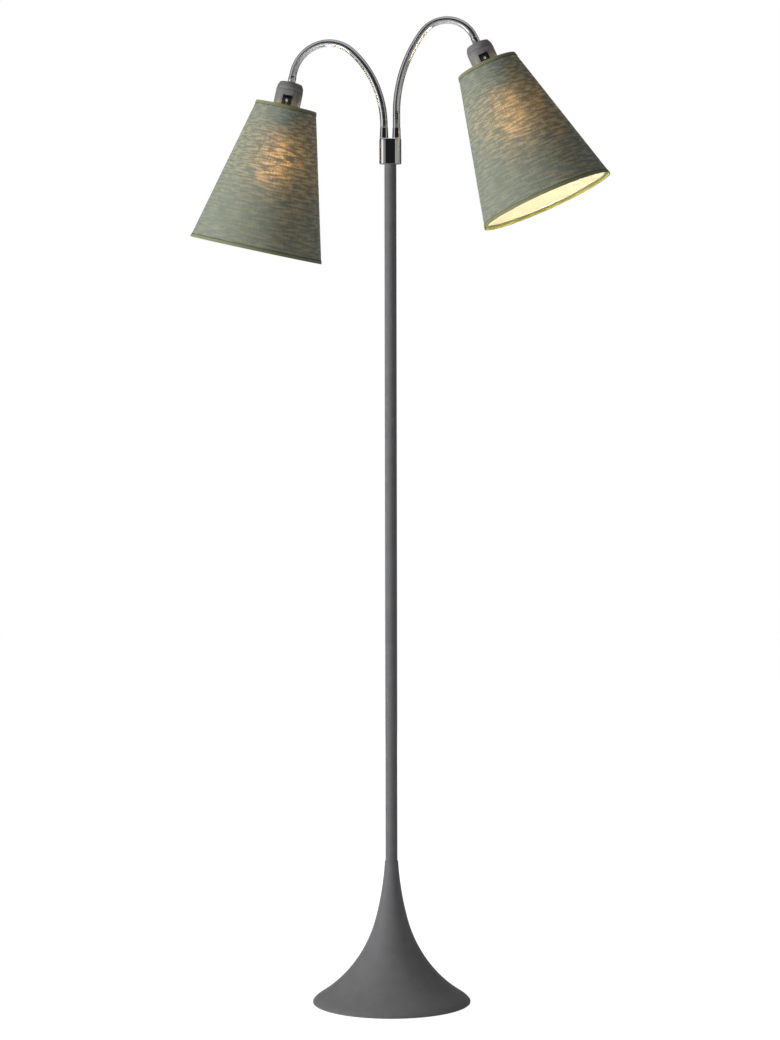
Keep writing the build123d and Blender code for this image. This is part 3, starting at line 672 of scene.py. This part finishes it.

# %% [markdown]
# ## Arms
#
# A gooseneck is a steel strip wound into a tube, so its ribs are one long screw. A wire with one rib's
# outline, spun while it climbs, makes that screw as a straight tube. It is then laid along the arm's
# centreline. For the joints it is cut into spans: each span reaches from the middle of one link to the
# middle of the next, and the spans meet end to end, so the arm curves without a break.

# %% The centrelines
class ArmLine:
    """A straight rise, two bends one after the other and a straight tail, in an upright plane."""

    def __init__(self, side, swing, rise, bends, tail, spacing, base):
        direction = -side * radians(swing)
        self.outward = Vector((side * cos(direction), side * sin(direction), 0))
        self.foot = Vector((side * spacing / 2, 0, base))
        self.runs = [(rise, 0.0)] + [(radius * radians(turn_), 1 / radius) for radius, turn_ in bends] + [(tail, 0.0)]
        self.length = sum(length for length, _ in self.runs)

    def place(self, distance):
        """The point and the frame at a distance from the foot: Z along the arm, X square to its plane."""
        out, up, angle = 0.0, 0.0, 0.0
        for number, (length, curve) in enumerate(self.runs):
            last = number == len(self.runs) - 1
            step = distance if distance < length or last else length
            if curve:
                out += (cos(angle) - cos(angle + curve * step)) / curve
                up += (sin(angle + curve * step) - sin(angle)) / curve
                angle += curve * step
            else:
                out += sin(angle) * step
                up += cos(angle) * step
            distance -= step
            if step < length or last:
                break
        z = self.outward * sin(angle) + Vector((0, 0, 1)) * cos(angle)
        x = self.outward.cross(Vector((0, 0, 1)))
        point = self.foot + self.outward * out + Vector((0, 0, up))
        rotation = Matrix((x, z.cross(x), z)).transposed().to_4x4()
        return Matrix.Translation(point) @ rotation


ARM_SPACING = 18.75 * MM
FERRULE_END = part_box("left_ferrule")[1].z
ARMS = {
    "left": ArmLine(-1, -16.8, 1.5 * MM, ((155 * MM, 47.5), (56.5 * MM, 119.7)), 13.6 * MM, ARM_SPACING, FERRULE_END),
    "right": ArmLine(1, 9.5, 22 * MM, ((200 * MM, 36.5), (45.7 * MM, 119.6)), 10 * MM, ARM_SPACING, FERRULE_END),
}
for name, line in ARMS.items():
    print(name, "arm", round(line.length / MM, 1), "mm, ends at", line.place(line.length).translation)

# %% The wound tube, straight
CREST = 5.6 * MM
ROOT = 5.1 * MM
PITCH = 2.4 * MM
RIB = ((0.0, 0.0), (0.08, 0.0), (0.13, 0.88), (0.16, 1.0), (0.92, 1.0), (0.95, 0.88), (1.0, 0.0))
STEPS_PER_TURN = 28
HIDDEN_END = 1.5 * MM  # of the tube, inside the ferrule and the sleeve
TURNS_BELOW, SPARE_TURNS = 2, 4


def wound_tube(length):
    """A straight screw of ribs that reaches past both of its ends: one turn, repeated."""
    turn_ = bmesh.new()
    wire = [turn_.verts.new((ROOT + (CREST - ROOT) * rise, 0, (share - TURNS_BELOW) * PITCH)) for share, rise in RIB]
    for start, end in zip(wire, wire[1:]):
        turn_.edges.new((start, end))
    bmesh.ops.spin(turn_, geom=turn_.verts[:] + turn_.edges[:], cent=(0, 0, 0), axis=(0, 0, 1), angle=tau,
                   dvec=(0, 0, PITCH / STEPS_PER_TURN), steps=STEPS_PER_TURN, use_duplicate=False)
    mesh = bpy.data.meshes.new("turn")
    turn_.to_mesh(mesh)
    turn_.free()
    bm = bmesh.new()
    for _ in range(int(length / PITCH) + SPARE_TURNS):
        bm.from_mesh(mesh)
        mesh.transform(Matrix.Translation((0, 0, PITCH)))
    bpy.data.meshes.remove(mesh)
    bmesh.ops.remove_doubles(bm, verts=bm.verts, dist=PITCH * 0.02)
    return bm


def cut_span(tube, start, end):
    """The stretch of a straight tube between two heights, closed at both cuts."""
    bm = tube.copy()
    for height, side in ((start, -1), (end, 1)):
        bmesh.ops.bisect_plane(bm, geom=bm.verts[:] + bm.edges[:] + bm.faces[:], dist=1e-7, plane_co=(0, 0, height),
                               plane_no=(0, 0, side), clear_outer=True)
    rims = [edge for edge in bm.edges if edge.is_boundary]
    bmesh.ops.holes_fill(bm, edges=rims, sides=0)
    return bm


# %% The arms, span by span
LINKS = 6
SLEEVE = 10 * MM
JOINT_GAP = 1.8 * MM
for side, line in ARMS.items():
    free = line.length - SLEEVE
    link = (free - JOINT_GAP) / LINKS
    middles = [0.0] + [JOINT_GAP / 2 + (number + 0.5) * link for number in range(LINKS)] + [free]
    tube = wound_tube(free)
    for number in range(LINKS + 1):
        start, end = middles[number], middles[number + 1]
        first = start - HIDDEN_END if number == 0 else start
        last = end + HIDDEN_END if number == LINKS else end
        bm = cut_span(tube, first, last)
        for vertex in bm.verts:
            vertex.co = line.place(vertex.co.z) @ Vector((vertex.co.x, vertex.co.y, 0))
        span = make_object(bm, f"{side}_arm_{number + 1}", chrome)
        covered = [f"{side}_gooseneck_{n}" for n in (number, number + 1) if 1 <= n <= LINKS]
        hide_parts(*covered)
        line.place(start).translation
        line.place(end).translation
        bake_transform(span)
    tube.free()
    print(side, "arm spans", LINKS + 1, "faces in the last", len(span.data.polygons))

# %% [markdown]
# ## Lampholders
#
# Everything on a lampholder is turned about one axis, so its place is one matrix: origin on top of the
# cap, Z down the axis, X towards the viewer. The cap and the casing are moulded, with a fine groove
# where they meet. The casing's window for the switch comes with the solid.

# %% The holders' places
def head_place(line):
    """Origin on top of the cap, Z down the holder's axis, X towards the viewer."""
    end = line.place(line.length)
    z = end.col[2].xyz
    viewer = Vector((0, -1, 0))
    x = (viewer - z * viewer.dot(z)).normalized()
    return Matrix.Translation(end.translation) @ Matrix((x, z.cross(x), z)).transposed().to_4x4()


HEADS = {side: head_place(line) for side, line in ARMS.items()}
CAP_HOLE = 5.1 * MM
CAP_PLATEAU = 12 * MM
CAP_RADIUS = 20 * MM
CAP_SHOULDER = 8 * MM
CAP_BEVEL = 3 * MM
CAP_LENGTH = 12 * MM
WALL = 2.5 * MM
GROOVE = 0.15 * MM  # between cap and casing
SLEEVE_RADIUS = 6 * MM
SLEEVE_CORE = 5 * MM
SLEEVE_TAPER, SLEEVE_SHOULDER = 0.94, 0.7  # shares of its radius and its length
for side, place in HEADS.items():
    cap_outline = [(CAP_HOLE, 0), (CAP_PLATEAU, 0), (CAP_RADIUS - CAP_BEVEL, CAP_BEVEL / 2),
                   (CAP_RADIUS, CAP_SHOULDER), (CAP_RADIUS, CAP_LENGTH - GROOVE),
                   (CAP_RADIUS - WALL, CAP_LENGTH - GROOVE), (CAP_RADIUS - WALL, CAP_SHOULDER),
                   (CAP_PLATEAU, WALL), (CAP_HOLE, WALL)]
    cap = spun(side + "_cap", cap_outline, grey_plastic, place, rounding=0.9 * MM, closed=True)
    stands_for(cap, "grey_plastic", side + "_holder_cap")
    sleeve_outline = [(0, -SLEEVE), (SLEEVE_RADIUS * SLEEVE_TAPER, -SLEEVE),
                      (SLEEVE_RADIUS, -SLEEVE * SLEEVE_SHOULDER), (SLEEVE_RADIUS, 0), (SLEEVE_CORE, 0),
                      (SLEEVE_CORE, CAP_LENGTH), (0, CAP_LENGTH)]
    sleeve = spun(side + "_sleeve", sleeve_outline, chrome, place, rounding=0.4 * MM, steps=64)
    stands_for(sleeve, "chrome", side + "_end_sleeve")
    casing = dressed(side + "_holder_body", grey_plastic, 0.0004)
    for part, material, slot in (("rocker_bezel", black_plastic, "black_plastic"),
                                 ("rocker", black_plastic, "black_plastic"),
                                 ("lock_ring", grey_plastic, "grey_plastic"),
                                 ("holder_core", ceramic, "ceramic_core"),
                                 ("socket_contacts", brass, "brass"), ("bulb_cap", brass, "brass")):
        dressed(f"{side}_{part}", material)

# %% [markdown]
# The rocker's off mark is a ring and its on mark is a bar, printed on the two halves of its face. They
# are thin raised shapes, laid on the rocker's slopes.

# %% Switch marks
SWITCH_CENTRE = 32 * MM
FACE = 20.8 * MM
PIVOT_DEPTH = 4 * MM
ROCKER_TILT = -8.0
CREST_RISE = 1.3 * MM
HALF_ROCKER = 8.5 * MM
MARK_THICKNESS = 0.15 * MM
RING_INNER, RING_OUTER = 1.1 * MM, 1.8 * MM
BAR_WIDTH, BAR_LENGTH = 0.8 * MM, 2.6 * MM
OFF_PLACE, ON_PLACE = 0.5, 0.16  # shares of half the rocker's length


def strip_bmesh(size, rounding):
    """A strip about the origin, with its edges rounded."""
    bm = bmesh.new()
    bmesh.ops.create_cube(bm, size=1)
    bmesh.ops.scale(bm, vec=size, verts=bm.verts)
    bmesh.ops.bevel(bm, geom=bm.edges[:], offset=rounding, offset_type="OFFSET", segments=2, profile=0.5,
                    affect="EDGES", clamp_overlap=True, material=-1)
    return bm


for side, place in HEADS.items():
    pivot = place @ Matrix.Translation((FACE - PIVOT_DEPTH, 0, SWITCH_CENTRE))
    face = pivot @ Matrix.Rotation(radians(ROCKER_TILT), 4, "Y") @ Matrix.Translation((PIVOT_DEPTH, 0, 0))
    slope = atan2(CREST_RISE, HALF_ROCKER)
    ring = spun_bmesh([(RING_INNER, 0), (RING_OUTER, 0), (RING_OUTER, MARK_THICKNESS), (RING_INNER, MARK_THICKNESS)],
                      closed=True, steps=40)
    ring.transform(Matrix.Rotation(radians(90), 4, "Y"))
    bar = strip_bmesh((MARK_THICKNESS, BAR_WIDTH, BAR_LENGTH), 0.05 * MM)
    bmesh.ops.translate(bar, vec=(MARK_THICKNESS / 2, 0, 0), verts=bar.verts)
    for name, bm, direction, reach in (("off_mark", ring, -1, OFF_PLACE), ("on_mark", bar, 1, ON_PLACE)):
        tilt = Matrix.Rotation(direction * slope, 4, "Y")
        bm.transform(face @ tilt @ Matrix.Translation((0, 0, direction * reach * HALF_ROCKER)))
        mark = make_object(bm, f"{side}_{name}", mark_paint)
        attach(mark, side + "_switch")

# %% [markdown]
# ## Shades
#
# The shade is linen glued on a stiff white backing and rolled into a cone. It is one thin closed wall:
# its outer faces are linen and its inner faces are backing. A tape is folded over both rims, and the
# cloth's ends overlap in a seam on the side away from the viewer.

# %% Shade cones
SHADE_TOP = 37 * MM
SHADE_END = 259 * MM
TOP_RADIUS = 46 * MM
BOTTOM_RADIUS = 101.5 * MM
SHADE_WALL = 0.8 * MM
SHADE_STEPS = 180
SHADE_BANDS = 40
SLOPE = (BOTTOM_RADIUS - TOP_RADIUS) / (SHADE_END - SHADE_TOP)
SLANT = hypot(1, SLOPE)


def cone_radius(distance):
    """The cloth's outer radius at a distance from the top of the cap."""
    return TOP_RADIUS + (distance - SHADE_TOP) * SLOPE


shades = {}
for side, place in HEADS.items():
    steps = [SHADE_TOP + (SHADE_END - SHADE_TOP) * number / SHADE_BANDS for number in range(SHADE_BANDS + 1)]
    outline = [(cone_radius(z), z) for z in steps] + [(cone_radius(z) - SHADE_WALL, z) for z in reversed(steps)]
    bm = spun_bmesh(outline, closed=True, steps=SHADE_STEPS)
    for face_ in bm.faces:
        centre = face_.calc_center_median()
        inner = hypot(centre.x, centre.y) < cone_radius(centre.z) - SHADE_WALL / 2
        face_.material_index = 1 if inner else 0
    bm.transform(place)
    shade = shades[side] = make_object(bm, side + "_linen_shade", [linen, backing])
    set_length_uv(shade, place)
    stands_for(shade, "shade_linen", side + "_shade_fabric")
    area = pi * (TOP_RADIUS + BOTTOM_RADIUS) * (SHADE_END - SHADE_TOP) * SLANT
    print(side, "shade cloth", round(area, 4), "square metres")

# %% [markdown]
# The tape is folded over the rim, so its section is a U that grips the wall.

# %% Tape on both rims
TAPE_OUT = 5 * MM
TAPE_IN = 5 * MM
TAPE_THICK = 0.5 * MM
# The painted shadow along the tape's outer edge is this wide.
TAPE_SHADOW_LINE = 0.9 * MM  # the dark line along the tape's outer edge
TAPE_GAP = 0.05 * MM  # between the tape and the wall
TAPE_ROUNDING = 0.15 * MM


def tape_section(rim, inward):
    """A U over the wall's edge. inward is +1 at the top rim and -1 at the bottom rim."""
    fold, edge = rim - inward * TAPE_GAP, rim - inward * TAPE_THICK
    outer, inner = cone_radius(rim) + TAPE_GAP, cone_radius(rim) - SHADE_WALL - TAPE_GAP
    return [(outer + SLOPE * inward * TAPE_OUT, rim + inward * TAPE_OUT), (outer, fold),
            (inner, fold), (inner + SLOPE * inward * TAPE_IN, rim + inward * TAPE_IN),
            (inner - TAPE_THICK + SLOPE * inward * TAPE_IN, rim + inward * TAPE_IN), (inner - TAPE_THICK, edge),
            (outer + TAPE_THICK, edge), *[(outer + TAPE_THICK + SLOPE * inward * reach, rim + inward * reach)
                                          for reach in (TAPE_OUT - TAPE_SHADOW_LINE, TAPE_OUT)]]


trims = {side: [] for side in HEADS}
for side, place in HEADS.items():
    for name, rim, inward in (("top", SHADE_TOP, 1), ("bottom", SHADE_END, -1)):
        bm = spun_bmesh(tape_section(rim, inward), TAPE_ROUNDING, closed=True, steps=SHADE_STEPS)
        for face_ in bm.faces:
            centre = face_.calc_center_median()
            off_wall = hypot(centre.x, centre.y) - cone_radius(centre.z)
            reach = (centre.z - rim) * inward
            # The tape's inner faces take the painted bulb light.
            if off_wall < -SHADE_WALL - TAPE_THICK / 2:
                face_.material_index = 1
            # A strip along the tape's outer edge takes the painted shadow.
            elif off_wall > 0 and reach > TAPE_OUT - TAPE_SHADOW_LINE:
                face_.material_index = 2
        bm.transform(place)
        band = make_object(bm, f"{side}_{name}_tape", [tape, lit_tape, tape_edge])
        set_length_uv(band, place)
        stands_for(band, "shade_tape", side + "_shade_trim")
        trims[side].append(band)

# %% [markdown]
# The cut of a cone is a sector of a flat ring. Its ends overlap at the back, where a strip is glued over
# them.

# %% Seam
SEAM_WIDTH = 8 * MM
SEAM_THICK = 0.4 * MM
for side, place in HEADS.items():
    bm = strip_bmesh((SEAM_THICK, SEAM_WIDTH, (SHADE_END - SHADE_TOP - 2 * TAPE_OUT) * SLANT), 0.1 * MM)
    middle = (SHADE_TOP + SHADE_END) / 2
    lean = Matrix.Translation((-cone_radius(middle), 0, middle)) @ Matrix.Rotation(-atan2(SLOPE, 1), 4, "Y")
    bm.transform(place @ lean)
    seam = make_object(bm, side + "_seam", linen)
    set_length_uv(seam, place)
    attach(seam, side + "_head")

# %% [markdown]
# ## Shade frames and bulbs
#
# Inside each shade a wire frame hangs on the lampholder: a pressed hub, three spokes and a top ring. A
# second ring keeps the bottom rim round. The wires are round rods, made as spun circles and as straight
# cylinders between two points.

# %% Wire frames
WIRE = 1.1 * MM
RING_INSET = 5 * MM
HUB_DISTANCE = 50 * MM
HUB_INNER, HUB_OUTER, HUB_THICK = 19.1 * MM, 26 * MM, 1.5 * MM
SPOKES = 3
WIRE_GAP = 0.6 * MM
SPOKE_SEAT = 1 * MM  # of a spoke that lies on the hub


def add_rod(bm, start, end, radius):
    """A round rod between two points."""
    run = Vector(end) - Vector(start)
    turn_ = Vector((0, 0, 1)).rotation_difference(run).to_matrix().to_4x4()
    middle = Matrix.Translation((Vector(start) + Vector(end)) / 2)
    bmesh.ops.create_cone(bm, cap_ends=True, segments=16, radius1=radius, radius2=radius, depth=run.length,
                          matrix=middle @ turn_)


def add_ring(bm, radius, height, section):
    """A round wire ring."""
    wire = bmesh.new()
    bmesh.ops.create_circle(wire, segments=12, radius=section,
                            matrix=Matrix.Translation((radius, 0, height)) @ Matrix.Rotation(radians(90), 4, "X"))
    bmesh.ops.spin(wire, geom=wire.verts[:] + wire.edges[:], cent=(0, 0, 0), axis=(0, 0, 1), angle=tau, steps=120,
                   use_merge=True, use_duplicate=False)
    bmesh.ops.remove_doubles(wire, verts=wire.verts, dist=1e-6)
    mesh = bpy.data.meshes.new("ring")
    wire.to_mesh(mesh)
    wire.free()
    bm.from_mesh(mesh)
    bpy.data.meshes.remove(mesh)


for side, place in HEADS.items():
    bm = spun_bmesh([(HUB_INNER, HUB_DISTANCE), (HUB_OUTER, HUB_DISTANCE), (HUB_OUTER, HUB_DISTANCE + HUB_THICK),
                     (HUB_INNER, HUB_DISTANCE + HUB_THICK)], closed=True)
    top = SHADE_TOP + RING_INSET
    bottom = SHADE_END - RING_INSET
    ring_radius = cone_radius(top) - SHADE_WALL - WIRE - WIRE_GAP
    add_ring(bm, ring_radius, top, WIRE)
    add_ring(bm, cone_radius(bottom) - SHADE_WALL - WIRE - WIRE_GAP, bottom, WIRE)
    for number in range(SPOKES):
        angle = tau * (number + 0.5) / SPOKES
        out = Vector((cos(angle), sin(angle), 0))
        add_rod(bm, out * (HUB_OUTER - SPOKE_SEAT) + Vector((0, 0, HUB_DISTANCE + HUB_THICK / 2)),
                out * ring_radius + Vector((0, 0, top)), WIRE)
    bm.transform(place)
    wires = make_object(bm, side + "_shade_wires", steel)
    stands_for(wires, "steel", side + "_shade_frame")

# %% Bulbs
BULB_RADIUS = 30 * MM
BULB_MIDDLE = 130 * MM
BULB_NECK = 13.2 * MM
BULB_FOOT = 80 * MM
BULB_STEM = 6 * MM
GLOBE_START = -40
GLOBE_STEPS = 18
for side, place in HEADS.items():
    angles = [radians(GLOBE_START + (90 - GLOBE_START) * n / GLOBE_STEPS) for n in range(GLOBE_STEPS)]
    globe = [(BULB_RADIUS * cos(a), BULB_MIDDLE + BULB_RADIUS * sin(a)) for a in angles]
    outline = [(0, BULB_FOOT), (BULB_NECK, BULB_FOOT), (BULB_NECK, BULB_FOOT + BULB_STEM), *globe,
               (0, BULB_MIDDLE + BULB_RADIUS)]
    bulb = spun(side + "_bulb", outline, bulb_frost, place, steps=48)
    stands_for(bulb, "bulb_glass", side + "_bulb_glass")

# %% [markdown]
# ## Hidden and small pieces
#
# The pieces inside the base and the column keep their solids and only need their finish.

# %% Finishes of the pieces that keep their solids
KEPT = {"base_weight": cast_iron, "base_pad": felt, "tie_rod": steel, "base_nut": steel,
        "cord_grommet": black_plastic, "column_foot_plug": steel, "column_top_plug": steel, "collar_stud": steel}
for name, material in KEPT.items():
    mesh = frame["nodes"][name].data
    mesh.materials.clear()
    mesh.materials.append(material)

# %% [markdown]
# ## Floor
#
# The floor is a white sheet. To the camera it shines almost as bright as the background, and a part of
# it still takes the lamp's shadow.

# %% Floor
FLOOR_SIZE = 14.0
SHADOW_SHARE = 0.3
FLOOR_SHINE = 1.34
FLOOR_COLOUR = (0.9, 0.9, 0.9)
floor_finish = finish("white_floor", FLOOR_COLOUR, 0.8)
tree = floor_finish.node_tree
shine = tree.nodes.new("ShaderNodeEmission")
shine.inputs["Strength"].default_value = FLOOR_SHINE
path = tree.nodes.new("ShaderNodeLightPath")
share = add_math(floor_finish, "MULTIPLY", path.outputs["Is Camera Ray"], 1 - SHADOW_SHARE)
surface = mix_shaders(floor_finish, share, tree.nodes["Principled BSDF"].outputs[0], shine.outputs[0])
tree.links.new(surface, tree.nodes["Material Output"].inputs["Surface"])
bm = bmesh.new()
bmesh.ops.create_grid(bm, x_segments=1, y_segments=1, size=FLOOR_SIZE / 2)
floor = make_object(bm, "floor", floor_finish)
